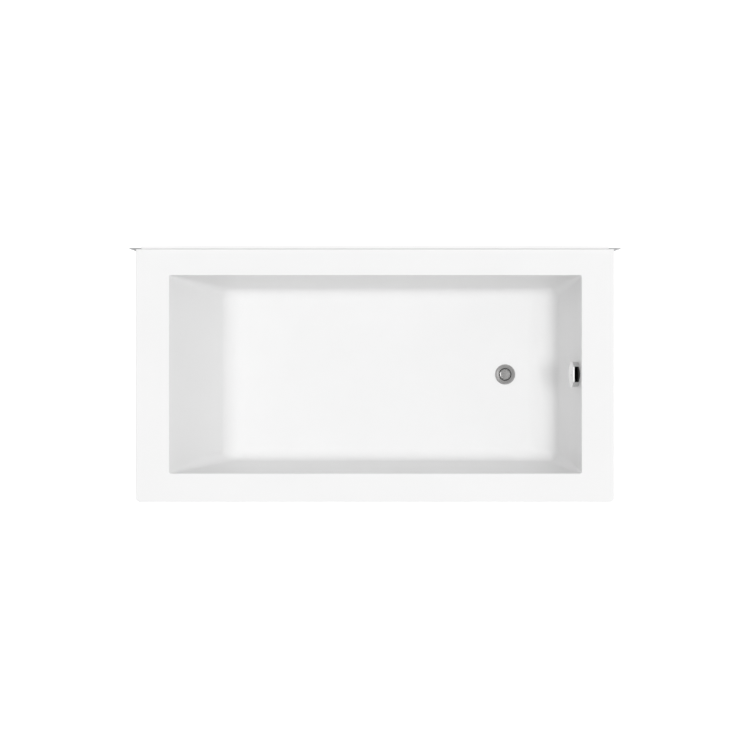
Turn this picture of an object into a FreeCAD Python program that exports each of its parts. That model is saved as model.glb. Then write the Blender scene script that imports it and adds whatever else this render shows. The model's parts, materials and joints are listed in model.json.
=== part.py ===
import FreeCAD, Part
import os
import re
import Sketcher

# Rectangular soaking tub for a wall: acrylic shell, steel frame on levelling feet, three loose panels,
# drain and overflow. Sizes are in millimetres. The origin is on the floor under the middle of the tub,
# +X runs to the drain end, +Y to the wall and +Z up.

Vector = FreeCAD.Vector
Rotation = FreeCAD.Rotation

doc = FreeCAD.newDocument("soaking_tub")
sizes = doc.addObject("Spreadsheet::Sheet", "Sizes")
nodes = []

DIMENSIONS = {
    # deck, lip and wall strip
    "rim_length": 1524,
    "rim_depth": 805,
    "deck_height": 560,
    "floor_height": 140,
    "lip_drop": 45,
    "shell_wall": 7,
    "rim_corner": 13,
    "rim_edge": 6,
    "flange_depth": 8,
    "flange_rise": 25,
    "flange_setback": 21,
    "flange_lift": 2,
    "flange_edge": 2.5,
    "flange_toe": 5.5,
    "flange_toe_edge": 0.8,
    "flange_cove": 4,
    # basin: deck widths round its mouth, wall angles from upright, the facet at the foot of the drain-end
    # wall, corner and cove radii
    "head_rim": 106,
    "drain_rim": 104,
    "front_rim": 91,
    "back_rim": 83,
    "head_slope": 19.5,
    "drain_slope": 4.5,
    "side_slope": 2.5,
    "facet_slope": 60,
    "facet_rise": 44,
    "basin_corner": 5,
    "basin_edge": 3,
    "side_cove": 40,
    "head_cove": 80,
    "drain_cove": 80,
    "knee_round": 38,
    # frame and base board
    "tube_side": 30,
    "tube_wall": 2,
    "frame_gap": 3,
    "board_thickness": 15,
    "board_margin": 6,
    "board_drain_gap": 65,
    "cross_setback": 40,
    # levelling feet
    "pad_radius": 25,
    "pad_height": 12,
    "pad_edge": 4,
    "pad_collar": 10,
    "pad_socket": 7,
    "stud_radius": 6,
    "stud_clearance": 0.35,
    "stud_top_gap": 5,
    "nut_radius": 11,
    "weld_nut_height": 10,
    "lock_nut_height": 6,
    # panels, pegs and clips
    "panel_inset": 12,
    "panel_sheet": 4,
    "panel_return": 25,
    "panel_gap": 7,
    "panel_floor_gap": 10,
    "panel_joint": 1.5,
    "panel_edge": 3,
    "peg_radius": 4,
    "peg_foot_radius": 8,
    "peg_foot": 2,
    "peg_tip_gap": 4,
    "peg_inset": 60,
    "peg_clearance": 0.4,
    "clip_width": 20,
    "clip_depth": 16,
    "clip_height": 24,
    # wall brackets and their screws
    "ear_reach": 28,
    "ear_tip": 7,
    "bracket_sheet": 2.5,
    "bracket_plate_drop": 60,
    "bracket_tab_drop": 34,
    "wall_hole_radius": 3.25,
    "wall_hole_inset": 14,
    "wall_hole_drop": 46,
    "screw_drop": 18,
    "screw_spread": 7,
    "screw_radius": 2.5,
    "screw_clearance": 0.4,
    "screw_length": 16,
    "screw_head_radius": 4.5,
    "screw_head": 3,
    # drain
    "drain_setback": 311,
    "drain_throat_radius": 20.5,
    "drain_wall": 3.5,
    "drain_hole_gap": 2,
    "drain_lip": 1.5,
    "drain_flange_radius": 35,
    "drain_flange_height": 3,
    "drain_flange_bevel": 2,
    "drain_flange_land": 3,
    "drain_body_drop": 32,
    "spider_drop": 28,
    "spider_height": 6,
    "spider_bar": 5,
    "hub_radius": 7,
    "gasket_thickness": 4,
    "gasket_gap": 1,
    "gasket_width": 10,
    # stopper
    "seal_gap": 0.7,
    "seal_thickness": 3,
    "seal_bevel": 1,
    "cap_setback": 0.7,
    "cap_lift": 1,
    "cap_thickness": 4,
    "cap_edge": 1.8,
    "cap_crown": 0.4,
    "stem_radius": 7.5,
    "stem_gap": 1,
    "guide_radius": 4,
    "guide_clearance": 0.4,
    "guide_top_gap": 1,
    "post_tail": 3,
    "post_shoulder": 5.5,
    "post_shoulder_height": 2,
    # overflow
    "overflow_drop": 60,
    "overflow_hole_radius": 29,
    "overflow_cap_radius": 42,
    "overflow_taper": 2,
    "overflow_reach": 21.5,
    "overflow_face": 4,
    "overflow_dome": 0.8,
    "overflow_bevel": 2,
    "overflow_skin": 2,
    "notch_half_width": 25,
    "notch_shoulder": 4,
    "notch_end": 0.8,
    "bush_gap": 2,
    "bush_flange": 4,
    "bush_clearance": 1,
    "bush_wall": 4,
    "bush_length": 18,
    "overflow_gasket_width": 8,
    # waste pipes
    "pipe_radius": 19.05,
    "pipe_wall": 1.75,
    "pipe_clearance": 0.3,
    "pipe_gap": 7,
    "socket_wall": 4.2,
    "socket_depth": 18,
    "shoe_drop": 49,
    "shoe_flange": 6,
    "shoe_wall": 6,
    "shoe_reach": 62,
    "shoe_floor": 4,
    "tee_gap": 3,
    "elbow_flange": 12,
    "elbow_radius": 18,
    "elbow_wall": 3,
    "elbow_drop": 68,
    "tail_reach": 26,
    "tail_bead_width": 4,
    "tail_bead_height": 1.5,
    "slip_nut_radius": 31,
    "slip_nut_grip": 14,
    "slip_nut_end": 6,
}
for row, (alias, number) in enumerate(DIMENSIONS.items(), start=1):
    sizes.set(f"A{row}", alias)
    sizes.set(f"B{row}", str(number))
    sizes.setAlias(f"B{row}", alias)
doc.recompute()

# Places worked out from the sizes: half extents, then levels, then the drain and overflow lines
RIM_X = "(rim_length / 2)"
WALL_Y = "((rim_depth + flange_depth) / 2)"
DECK_BACK = f"({WALL_Y} - flange_depth)"
PANEL_X = f"({RIM_X} - panel_inset)"
PANEL_Y = f"({WALL_Y} - panel_inset)"
FRAME_X = f"({PANEL_X} - panel_return - frame_gap)"
FRAME_Y = f"({PANEL_Y} - panel_return - frame_gap)"
POST_X = f"({FRAME_X} - tube_side / 2)"
POST_Y = f"({FRAME_Y} - tube_side / 2)"

BASIN_DEPTH = "(deck_height - floor_height)"
FACET_DEPTH = f"({BASIN_DEPTH} - facet_rise)"
DECK_UNDER = "(deck_height - shell_wall)"
LIP_UNDER = "(deck_height - lip_drop)"
FLOOR_UNDER = "(floor_height - shell_wall)"
BOARD_UNDER = f"({FLOOR_UNDER} - board_thickness)"
CROSS_UNDER = f"({BOARD_UNDER} - tube_side)"
RAIL_UNDER = f"({CROSS_UNDER} - tube_side)"
TOP_RAIL_UNDER = f"({DECK_UNDER} - tube_side)"
PANEL_TOP = f"({LIP_UNDER} - panel_gap)"

PIPE_BORE = "(pipe_radius - pipe_wall)"
SOCKET_BORE = "(pipe_radius + pipe_clearance)"
SOCKET_RADIUS = "(pipe_radius + socket_wall)"
PIPE_OFFSET = f"(shell_wall + pipe_gap + {SOCKET_RADIUS})"

DRAIN_X = f"({RIM_X} - drain_setback)"
DRAIN_BODY_RADIUS = "(drain_throat_radius + drain_wall)"
DRAIN_HOLE_RADIUS = f"({DRAIN_BODY_RADIUS} + drain_hole_gap)"
GASKET_BORE = f"({DRAIN_HOLE_RADIUS} + gasket_gap)"
GASKET_RADIUS = f"({GASKET_BORE} + gasket_width)"
GASKET_UNDER = f"({FLOOR_UNDER} - gasket_thickness)"
OVERFLOW_X = f"({RIM_X} - drain_rim - overflow_drop * tan(drain_slope))"
OVERFLOW_Z = "(deck_height - overflow_drop)"
PIPE_X = f"({OVERFLOW_X} + {PIPE_OFFSET})"
PIPE_Z = f"({FLOOR_UNDER} - shoe_drop)"
ELBOW_UNDER = f"({OVERFLOW_Z} - elbow_drop)"
TEE_HALF = f"({SOCKET_RADIUS} + tee_gap + slip_nut_grip)"
TEE_BRANCH = "(slip_nut_radius + tee_gap + slip_nut_grip)"

# Turns that carry the Z axis onto another direction
AXIS_TURNS = {
    "+z": Rotation(),
    "-z": Rotation(Vector(1, 0, 0), 180),
    "+x": Rotation(Vector(0, 1, 0), 90),
    "-x": Rotation(Vector(0, -1, 0), 90),
    "+y": Rotation(Vector(-1, 0, 0), 90),
    "-y": Rotation(Vector(1, 0, 0), 90),
}
SIDES = {"left": "-1", "right": "1"}
ROWS = {"front": "-1", "back": "1"}


def cells(text):
    """The text with each size name turned into a reference to its cell."""
    def reference(word):
        return f"Sizes.{word.group()}" if word.group() in DIMENSIONS else word.group()
    return re.sub(r"[a-z]\w*", reference, str(text))


def value(text):
    """The number that an expression comes to."""
    return float(sizes.evalExpression(cells(text)))


def bind(thing, name, text):
    """Ties one property of an object to the sheet."""
    thing.setExpression(name, cells(text))


def place(thing, x, y, z):
    """Ties an object's position to the sheet."""
    for axis, text in zip("xyz", (x, y, z)):
        bind(thing, f"Placement.Base.{axis}", text)


def keep(thing):
    """Marks an object as a finished piece of the tub."""
    thing.Label = thing.Name
    nodes.append(thing)
    return thing


def box(name, x, y, z):
    """Box from three (low side, length) pairs."""
    thing = doc.addObject("Part::Box", name)
    for side, (low, length) in zip(("Length", "Width", "Height"), (x, y, z)):
        bind(thing, side, length)
    place(thing, x[0], y[0], z[0])
    return thing


def cylinder(name, radius, length, start, axis="+z"):
    """Round bar that runs from its start point along one axis."""
    thing = doc.addObject("Part::Cylinder", name)
    thing.Placement = FreeCAD.Placement(Vector(), AXIS_TURNS[axis])
    bind(thing, "Radius", radius)
    bind(thing, "Height", length)
    place(thing, *start)
    return thing


def prism(name, radius, height, start, sides=6, axis="+z"):
    """Prism with flat sides, for nuts."""
    thing = doc.addObject("Part::Prism", name)
    thing.Polygon = sides
    thing.Placement = FreeCAD.Placement(Vector(), AXIS_TURNS[axis])
    bind(thing, "Circumradius", radius)
    bind(thing, "Height", height)
    place(thing, *start)
    return thing


def fuse(name, *things):
    """Several objects made one."""
    thing = doc.addObject("Part::MultiFuse", name)
    thing.Shapes = list(things)
    return thing


def cut(name, base, *tools):
    """An object with the tools taken away from it."""
    thing = doc.addObject("Part::Cut", name)
    thing.Base = base
    thing.Tool = tools[0] if len(tools) == 1 else fuse(f"{name}_tools", *tools)
    return thing


def group(name, things):
    """Separate solids that share one piece name."""
    thing = doc.addObject("Part::Compound", name)
    thing.Links = things
    return thing


def ring(name, radius, bore, length, start, axis="+z"):
    """Pipe or washer."""
    outside = cylinder(f"{name}_outside", radius, length, start, axis)
    inside = cylinder(f"{name}_bore", bore, length, start, axis)
    return cut(name, outside, inside)


def round_off(name, base, choose):
    """Rounds the edges for which choose gives a (start radius, end radius) pair."""
    doc.recompute()
    chosen = []
    for index, edge in enumerate(base.Shape.Edges, start=1):
        radii = choose(edge)
        if radii:
            chosen.append((index, *radii))
    thing = doc.addObject("Part::Fillet", name)
    thing.Base = base
    thing.Edges = chosen
    return thing


def level(edge, height):
    """True for an edge that lies flat at one height."""
    bounds = edge.BoundBox
    return max(abs(bounds.ZMin - height), abs(bounds.ZMax - height)) < 0.01


def part_body(name):
    """Body for a moulded, turned or folded piece."""
    return doc.addObject("PartDesign::Body", name)


def plane_sketch(body, name, plane):
    """Empty sketch on one of the body's own planes."""
    sketch = body.newObject("Sketcher::SketchObject", name)
    support = next(feature for feature in body.Origin.OriginFeatures if feature.Role == plane)
    sketch.AttachmentSupport = [(support, "")]
    sketch.MapMode = "FlatFace"
    return sketch


def hold(sketch, geometry, point, across, up):
    """Ties one sketch point to a pair of sizes."""
    for kind, text in (("DistanceX", across), ("DistanceY", up)):
        index = sketch.addConstraint(Sketcher.Constraint(kind, -1, 1, geometry, point, value(text)))
        bind(sketch, f"Constraints[{index}]", text)


def outline(body, name, plane, corners):
    """Closed straight-sided sketch with each corner held at its own pair of sizes."""
    sketch = plane_sketch(body, name, plane)
    points = [Vector(value(across), value(up), 0) for across, up in corners]
    for start, end in zip(points, points[1:] + points[:1]):
        sketch.addGeometry(Part.LineSegment(start, end))
    for side in range(len(points)):
        sketch.addConstraint(Sketcher.Constraint("Coincident", side, 2, (side + 1) % len(points), 1))
    for side, (across, up) in enumerate(corners):
        hold(sketch, side, 1, across, up)
    return sketch


def hole(sketch, across, up, radius):
    """Round hole in a sketch."""
    centre = Vector(value(across), value(up), 0)
    circle = sketch.addGeometry(Part.Circle(centre, Vector(0, 0, 1), value(radius)))
    hold(sketch, circle, 3, across, up)
    index = sketch.addConstraint(Sketcher.Constraint("Radius", circle, value(radius)))
    bind(sketch, f"Constraints[{index}]", radius)


def pad(body, sketch, length, side_type="One side"):
    """Sheet or bar made by giving a sketch thickness."""
    feature = body.newObject("PartDesign::Pad", f"{sketch.Name}_pad")
    feature.Profile = sketch
    feature.SideType = side_type
    bind(feature, "Length", length)
    return feature


def turned(body, name, corners):
    """Turned form from (radius, height) corners."""
    sketch = outline(body, name, "XZ_Plane", corners)
    feature = body.newObject("PartDesign::Revolution", f"{name}_turned")
    feature.Profile = sketch
    feature.ReferenceAxis = (sketch, ["V_Axis"])
    feature.Angle = 360
    return feature


# Tub shell

def wall_reach(edge, deck_width, slope, depth, skin):
    """How far out a sloped basin wall stands at a depth, on the face that is skin outside the inner face."""
    return f"({edge} - {deck_width} - ({depth}) * tan({slope}) + ({skin}) / cos({slope}))"


def basin_form(name, top_depth, skin):
    """The basin as a solid form, filled to a depth below the deck and grown by one skin."""
    top = f"(deck_height - {top_depth})"
    floor = f"(floor_height - {skin})"
    floor_depth = f"({BASIN_DEPTH} + {skin})"
    slope_change = "(tan(facet_slope) - tan(drain_slope))"
    knee_depth = f"({FACET_DEPTH} + {skin} * (1 / cos(facet_slope) - 1 / cos(drain_slope)) / {slope_change})"
    facet_offset = wall_reach("0", "0", "facet_slope", f"{floor_depth} - {FACET_DEPTH}", skin)
    facet_foot = f"({wall_reach(RIM_X, 'drain_rim', 'drain_slope', FACET_DEPTH, '0')} + {facet_offset})"

    def head(depth):
        return f"-{wall_reach(RIM_X, 'head_rim', 'head_slope', depth, skin)}"

    def drain(depth):
        return wall_reach(RIM_X, "drain_rim", "drain_slope", depth, skin)

    def front(depth):
        return f"-{wall_reach(WALL_Y, 'front_rim', 'side_slope', depth, skin)}"

    def back(depth):
        return wall_reach(DECK_BACK, "back_rim", "side_slope", depth, skin)

    lengthwise = part_body(f"{name}_lengthwise")
    pad(lengthwise, outline(lengthwise, f"{name}_long_section", "XZ_Plane", [
        (head(top_depth), top), (head(floor_depth), floor), (facet_foot, floor),
        (drain(knee_depth), f"deck_height - {knee_depth}"), (drain(top_depth), top),
    ]), "2 * rim_depth", "Symmetric")
    crosswise = part_body(f"{name}_crosswise")
    pad(crosswise, outline(crosswise, f"{name}_cross_section", "YZ_Plane", [
        (front(top_depth), top), (front("deck_height"), "0"),
        (back("deck_height"), "0"), (back(top_depth), top),
    ]), "2 * rim_length", "Symmetric")
    walls = doc.addObject("Part::Common", f"{name}_walls")
    walls.Base = lengthwise
    walls.Tool = crosswise

    def crosses(edge):
        return edge.BoundBox.YLength > value("rim_depth") / 4

    def floor_rounding(edge):
        if not crosses(edge) or level(edge, value(top)):
            return None
        size = "knee_round"
        if level(edge, value(floor)):
            size = "head_cove" if edge.CenterOfMass.x < 0 else "drain_cove"
        radius = value(f"{size} + {skin}")
        return radius, radius

    def side_radius(point):
        at_top = abs(point.z - value(top)) < 0.01
        return value(f"{'basin_corner' if at_top else 'side_cove'} + {skin}")

    def side_rounding(edge):
        if crosses(edge) or level(edge, value(top)):
            return None
        ends = (edge.valueAt(edge.FirstParameter), edge.valueAt(edge.LastParameter))
        return tuple(side_radius(point) for point in ends)

    return round_off(name, round_off(f"{name}_ends", walls, floor_rounding), side_rounding)


def along_overflow(distance):
    """Point on the overflow's axis, measured from the wall's inner face into the basin."""
    return (f"({OVERFLOW_X} - ({distance}) * cos(drain_slope))", "0",
            f"({OVERFLOW_Z} + ({distance}) * sin(drain_slope))")


def face_basin(thing, distance="0"):
    """Sets an object square to the drain-end wall: its Z axis points into the basin, its X axis up."""
    thing.Placement = FreeCAD.Placement(Vector(), Rotation(Vector(0, -1, 0), value("90 - drain_slope")))
    bind(thing, "Placement.Rotation.Angle", "90 - drain_slope")
    place(thing, *along_overflow(distance))
    return thing


def overflow_bar(name, radius, low, length):
    """Round bar on the overflow's axis."""
    return face_basin(cylinder(name, radius, length, ("0", "0", "0")), low)


def make_tub_shell():
    def corner_rounding(edge):
        upright = edge.BoundBox.ZLength > value("lip_drop") / 2
        at_front = edge.CenterOfMass.y < 0
        return (value("rim_corner"), value("rim_corner")) if upright and at_front else None

    water = basin_form("water", "0", "0")
    outside = basin_form("basin_outside", "shell_wall / 2", "shell_wall")
    block = box(
        "rim_block",
        (f"-{RIM_X}", "rim_length"),
        (f"-{WALL_Y}", "rim_depth"),
        (LIP_UNDER, "lip_drop"),
    )
    slab = round_off("rim_slab", block, corner_rounding)
    hollow = box(
        "rim_hollow",
        (f"shell_wall - {RIM_X}", "rim_length - 2 * shell_wall"),
        (f"shell_wall - {WALL_Y}", "rim_depth - 2 * shell_wall"),
        (LIP_UNDER, "lip_drop - shell_wall"),
    )
    drain_hole = cylinder("drain_hole", DRAIN_HOLE_RADIUS, "3 * shell_wall",
                          (DRAIN_X, "0", "floor_height - 2 * shell_wall"))
    overflow_hole = overflow_bar("overflow_hole", "overflow_hole_radius", "-2 * shell_wall", "3 * shell_wall")
    blank = cut("shell_blank", fuse("shell_solid", cut("rim_tray", slab, hollow), outside), water)
    drilled = cut("shell_drilled", blank, drain_hole, overflow_hole)

    def deck_rounding(edge):
        centre = edge.CenterOfMass
        at_wall = centre.y > value(f"{DECK_BACK} - rim_corner")
        if at_wall or not level(edge, value("deck_height")):
            return None
        at_end = abs(centre.x) > value(f"{RIM_X} - rim_corner")
        at_front = centre.y < -value(f"{WALL_Y} - rim_corner")
        radius = value("rim_edge" if at_end or at_front else "basin_edge")
        return radius, radius

    keep(round_off("tub_shell", drilled, deck_rounding))


# Base board and tiling flange

BOARD_HEAD = f"({RIM_X} - head_rim - {BASIN_DEPTH} * tan(head_slope) - head_cove - board_margin)"
BOARD_DRAIN = f"({DRAIN_X} - board_drain_gap)"
BOARD_FRONT = f"({WALL_Y} - front_rim - {BASIN_DEPTH} * tan(side_slope) - side_cove - board_margin)"
BOARD_BACK = f"({DECK_BACK} - back_rim - {BASIN_DEPTH} * tan(side_slope) - side_cove - board_margin)"


def make_base_board():
    keep(box(
        "base_board",
        (f"-{BOARD_HEAD}", f"{BOARD_HEAD} + {BOARD_DRAIN}"),
        (f"-{BOARD_FRONT}", f"{BOARD_FRONT} + {BOARD_BACK}"),
        (BOARD_UNDER, "board_thickness"),
    ))


def make_tiling_flange():
    """Upright strip on the lip's back face, with a thin toe that lies on the deck."""
    body = part_body("tiling_flange")
    bottom = f"{LIP_UNDER} + flange_lift"
    top = "deck_height + flange_rise"
    toe_top = "deck_height + flange_toe_edge"
    toe_front = f"{DECK_BACK} - flange_toe"
    profile = outline(body, "flange_profile", "YZ_Plane",
                      [(DECK_BACK, bottom), (WALL_Y, bottom), (WALL_Y, top), (DECK_BACK, top),
                       (DECK_BACK, toe_top), (toe_front, toe_top),
                       (toe_front, "deck_height"), (DECK_BACK, "deck_height")])
    strip = pad(body, profile, f"2 * ({RIM_X} - flange_setback)", "Symmetric")
    for name, height, radius in (("top_rounding", top, "flange_edge"), ("toe_cove", toe_top, "flange_cove")):
        doc.recompute()
        edges = [f"Edge{index}" for index, edge in enumerate(strip.Shape.Edges, start=1)
                 if level(edge, value(height)) and abs(edge.CenterOfMass.y - value(DECK_BACK)) < 0.01]
        rounding = body.newObject("PartDesign::Fillet", name)
        rounding.Base = (strip, edges)
        bind(rounding, "Radius", radius)
        strip = rounding
    keep(body)


# Steel frame

def square_tube(name, run, x, y, z, *holes):
    """Open-ended square tube along one axis, with holes taken out of its walls."""
    inside = []
    for axis, (low, length) in zip("xyz", (x, y, z)):
        inset = (low, length) if axis == run else (f"{low} + tube_wall", f"{length} - 2 * tube_wall")
        inside.append(inset)
    keep(cut(name, box(f"{name}_outside", x, y, z), box(f"{name}_inside", *inside), *holes))


def row_span(sign):
    """Front-to-back span of the tubes in the front or back row."""
    return f"{sign} * {POST_Y} - tube_side / 2", "tube_side"


def side_span(sign):
    """Left-to-right span of the tubes at the left or right end."""
    return f"{sign} * {POST_X} - tube_side / 2", "tube_side"


FOOT_PLACES = {"left": f"-{POST_X}", "middle": "0", "right": POST_X}


def make_frame():
    full_length = (f"-{FRAME_X}", f"2 * {FRAME_X}")
    for row, sign in ROWS.items():
        stud_holes = [
            cylinder(f"stud_hole_{row}_{place_name}", "stud_radius + stud_clearance", "2 * tube_wall",
                     (x, f"{sign} * {POST_Y}", f"{RAIL_UNDER} - tube_wall / 2"))
            for place_name, x in FOOT_PLACES.items()
        ]
        square_tube(f"long_rail_{row}", "x", full_length, row_span(sign),
                    (RAIL_UNDER, "tube_side"), *stud_holes)
        square_tube(f"top_rail_{row}", "x", full_length, row_span(sign), (TOP_RAIL_UNDER, "tube_side"))
        for side, side_sign in SIDES.items():
            screw_holes = bracket_screw_holes(side, side_sign) if row == "back" else []
            square_tube(f"post_{row}_{side}", "z", side_span(side_sign), row_span(sign),
                        (CROSS_UNDER, f"{TOP_RAIL_UNDER} - {CROSS_UNDER}"), *screw_holes)
    cross_head = f"(cross_setback - {BOARD_HEAD})"
    cross_drain = f"({BOARD_DRAIN} - cross_setback)"
    cross_middle = f"(({cross_head} + {cross_drain}) / 2)"
    cross_places = {"head": cross_head, "middle": cross_middle, "drain": cross_drain}
    for place_name, x in cross_places.items():
        square_tube(f"cross_rail_{place_name}", "y", (f"{x} - tube_side / 2", "tube_side"),
                    (f"-{FRAME_Y}", f"2 * {FRAME_Y}"), (CROSS_UNDER, "tube_side"))


# Wall brackets and their screws

def screw_places(side_sign):
    """Across positions of the two screws in one bracket."""
    return [f"({side_sign} * {POST_X} + {spread} * screw_spread)" for spread in (-1, 1)]


def bracket_screw_holes(side, side_sign):
    """Holes in a back post for the bracket screws."""
    return [
        cylinder(f"screw_hole_{side}_{number}", "screw_radius + screw_clearance", "2 * tube_wall",
                 (x, f"{FRAME_Y} - 1.5 * tube_wall", f"{LIP_UNDER} - screw_drop"), "+y")
        for number, x in enumerate(screw_places(side_sign), start=1)
    ]


def make_wall_bracket(side, sign):
    """Folded sheet under the lip's back corner: plate on the wall, shelf under the lip, tab on the post."""
    body = part_body(f"wall_bracket_{side}")
    place(body, "0", WALL_Y, LIP_UNDER)
    inner = f"{sign} * ({FRAME_X} - tube_side)"
    post_edge = f"{sign} * {FRAME_X}"
    ear = f"{sign} * ({RIM_X} + ear_reach)"
    ear_root = f"{sign} * ({RIM_X} + ear_reach - ear_tip)"
    post_face = f"{FRAME_Y} - {WALL_Y}"
    shelf = outline(body, f"shelf_{side}", "XY_Plane",
                    [(inner, "0"), (ear, "0"), (ear, "-bracket_sheet"), (ear_root, "-bracket_sheet"),
                     (post_edge, post_face), (inner, post_face)])
    pad(body, shelf, "bracket_sheet").Reversed = True
    plate = outline(body, f"plate_{side}", "XZ_Plane",
                    [(inner, "0"), (ear, "0"), (ear, "-bracket_plate_drop"), (inner, "-bracket_plate_drop")])
    hole(plate, f"{sign} * ({RIM_X} + ear_reach - wall_hole_inset)", "-wall_hole_drop", "wall_hole_radius")
    hole(plate, f"{sign} * ({FRAME_X} - tube_side + wall_hole_inset)", "-wall_hole_drop", "wall_hole_radius")
    pad(body, plate, "bracket_sheet")
    tab = outline(body, f"tab_{side}", "XZ_Plane",
                  [(inner, "0"), (post_edge, "0"),
                   (post_edge, "-bracket_tab_drop"), (inner, "-bracket_tab_drop")])
    for x in screw_places(sign):
        hole(tab, x, "-screw_drop", "screw_radius + screw_clearance")
    bind(tab, "AttachmentOffset.Base.z", f"{WALL_Y} - {FRAME_Y} - bracket_sheet")
    pad(body, tab, "bracket_sheet")
    keep(body)


def make_bracket_screws():
    screws = []
    seat = f"{FRAME_Y} + bracket_sheet"
    height = f"{LIP_UNDER} - screw_drop"
    for side, sign in SIDES.items():
        for number, x in enumerate(screw_places(sign), start=1):
            name = f"bracket_screw_{side}_{number}"
            head = cylinder(f"{name}_head", "screw_head_radius", "screw_head", (x, seat, height), "+y")
            shank = cylinder(f"{name}_shank", "screw_radius", "screw_length", (x, seat, height), "-y")
            screws.append(fuse(name, head, shank))
    keep(group("bracket_screws", screws))


# Levelling feet

def make_feet():
    weld_nuts = []
    lock_nuts = []
    weld_under = f"({RAIL_UNDER} - weld_nut_height)"
    lock_under = f"({weld_under} - lock_nut_height)"
    for row, sign in ROWS.items():
        y = f"{sign} * {POST_Y}"
        for place_name, x in FOOT_PLACES.items():
            spot = f"{row}_{place_name}"
            pad_body = part_body(f"foot_pad_{spot}")
            socket = "stud_radius + stud_clearance"
            foot = "(pad_height - pad_socket)"
            turned(pad_body, f"pad_profile_{spot}",
                   [("0", "0"), ("pad_radius", "0"), ("pad_radius", "pad_edge"), ("pad_collar", "pad_height"),
                    (socket, "pad_height"), (socket, foot), ("0", foot)])
            place(pad_body, x, y, "0")
            keep(pad_body)
            keep(cylinder(f"foot_stud_{spot}", "stud_radius", f"{CROSS_UNDER} - stud_top_gap - {foot}",
                          (x, y, foot)))
            for nuts, kind, under, height in ((weld_nuts, "weld_nut", weld_under, "weld_nut_height"),
                                              (lock_nuts, "lock_nut", lock_under, "lock_nut_height")):
                name = f"{kind}_{spot}"
                blank = prism(f"{name}_blank", "nut_radius", height, (x, y, under))
                bore = cylinder(f"{name}_bore", socket, height, (x, y, under))
                nuts.append(cut(name, blank, bore))
    keep(group("weld_nuts", weld_nuts))
    keep(group("lock_nuts", lock_nuts))


# Panels, pegs and clips

PEG_LOW = f"({CROSS_UNDER} + peg_inset)"
PEG_HIGH = f"({TOP_RAIL_UNDER} - peg_inset)"
PEG_RAIL = f"({RAIL_UNDER} + tube_side / 2)"
PANEL_HEIGHT = ("panel_floor_gap", f"{PANEL_TOP} - panel_floor_gap")
PANEL_HOLLOW = ("panel_floor_gap + panel_sheet", f"{PANEL_TOP} - panel_floor_gap - 2 * panel_sheet")
FRONT_PEGS = [(x, z) for x in (f"-{POST_X}", POST_X) for z in (PEG_LOW, PEG_HIGH)] + [("0", PEG_RAIL)]
END_PEGS = [(y, z) for y in (f"-{POST_Y}", POST_Y) for z in (PEG_LOW, PEG_HIGH)]
PEG_LENGTH = "panel_return + frame_gap - panel_sheet - peg_tip_gap"


def peg(name, start, axis):
    """Peg with a wide foot bonded to the back of a panel's sheet."""
    foot = cylinder(f"{name}_foot", "peg_foot_radius", "peg_foot", start, axis)
    shank = cylinder(f"{name}_shank", "peg_radius", PEG_LENGTH, start, axis)
    return fuse(name, foot, shank)


def clip(name, x, y, z, bore_start, axis):
    """Block on the frame with a bore for a peg."""
    bore = cylinder(f"{name}_bore", "peg_radius + peg_clearance", "clip_depth", bore_start, axis)
    return cut(name, box(f"{name}_block", x, y, z), bore)


def clip_width_at(centre):
    return f"{centre} - clip_width / 2", "clip_width"


def clip_height_at(centre):
    return f"{centre} - clip_height / 2", "clip_height"


def make_front_panel():
    """Tray with its open side to the frame; returns the clips on the frame for it."""
    tray = cut(
        "front_tray",
        box("front_blank", (f"-{PANEL_X}", f"2 * {PANEL_X}"),
            (f"-{PANEL_Y}", "panel_return"), PANEL_HEIGHT),
        box("front_hollow", (f"panel_sheet - {PANEL_X}", f"2 * {PANEL_X} - 2 * panel_sheet"),
            (f"panel_sheet - {PANEL_Y}", "panel_return"), PANEL_HOLLOW),
    )

    def show_edges(edge):
        bounds = edge.BoundBox
        if max(abs(bounds.YMin + value(PANEL_Y)), abs(bounds.YMax + value(PANEL_Y))) > 0.01:
            return None
        return value("panel_edge"), value("panel_edge")

    keep(round_off("front_panel", tray, show_edges))
    clip_depth = (f"-{FRAME_Y} - clip_depth", "clip_depth")
    pegs = []
    clips = []
    for number, (x, z) in enumerate(FRONT_PEGS, start=1):
        pegs.append(peg(f"front_peg_{number}", (x, f"panel_sheet - {PANEL_Y}", z), "+y"))
        clips.append(clip(f"front_clip_{number}", clip_width_at(x), clip_depth, clip_height_at(z),
                          (x, clip_depth[0], z), "+y"))
    keep(group("front_panel_pegs", pegs))
    return clips


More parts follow.
